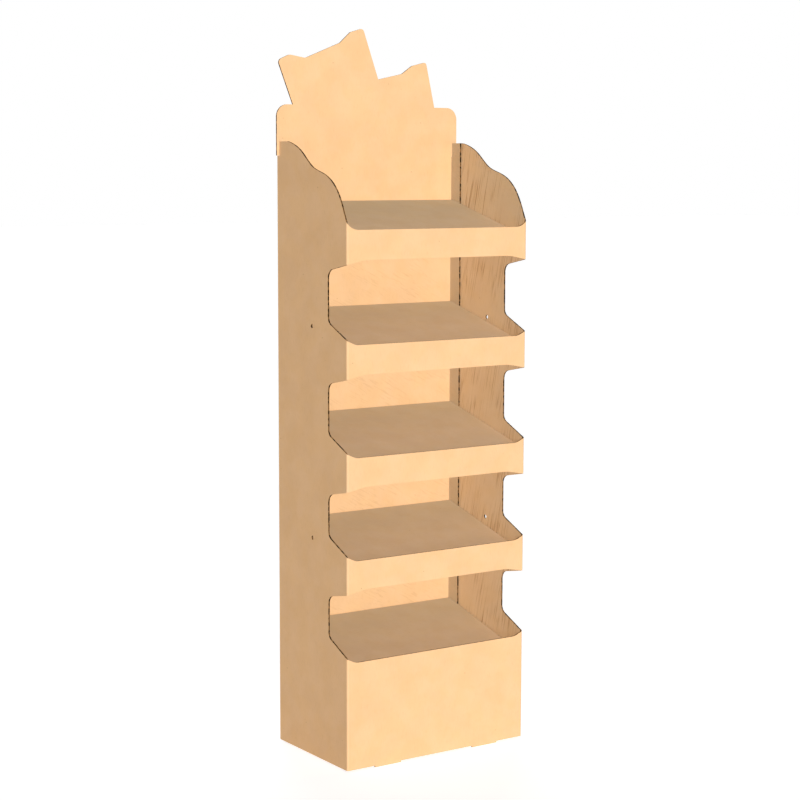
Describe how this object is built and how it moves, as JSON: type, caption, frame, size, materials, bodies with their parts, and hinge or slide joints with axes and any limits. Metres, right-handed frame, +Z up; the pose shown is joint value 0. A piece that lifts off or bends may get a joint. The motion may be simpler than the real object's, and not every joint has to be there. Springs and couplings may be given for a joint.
{
  "type": "cardboard display stand",
  "caption": "Free-standing corrugated cardboard display stand with sloping shelves behind low lips, windows round the front corners, scalloped sides and a shaped header card.",
  "frame": {"origin": "on the floor, under the middle of the stand's bounding box", "axes": "+Z up, +Y from the open front to the back panel, +X to the right seen from the front"},
  "size_m": [0.409, 0.24, 1.3559],
  "materials": {
    "outer_board": "matt kraft liner",
    "shelf_board": "matt kraft liner"
  },
  "bodies": {
    "root": {"shell": "outer_board", "back_panel": "outer_board", "header": "outer_board", "shelf_1": "shelf_board", "shelf_2": "shelf_board", "shelf_3": "shelf_board", "shelf_4": "shelf_board", "shelf_5": "shelf_board"}
  },
  "joints": []
}
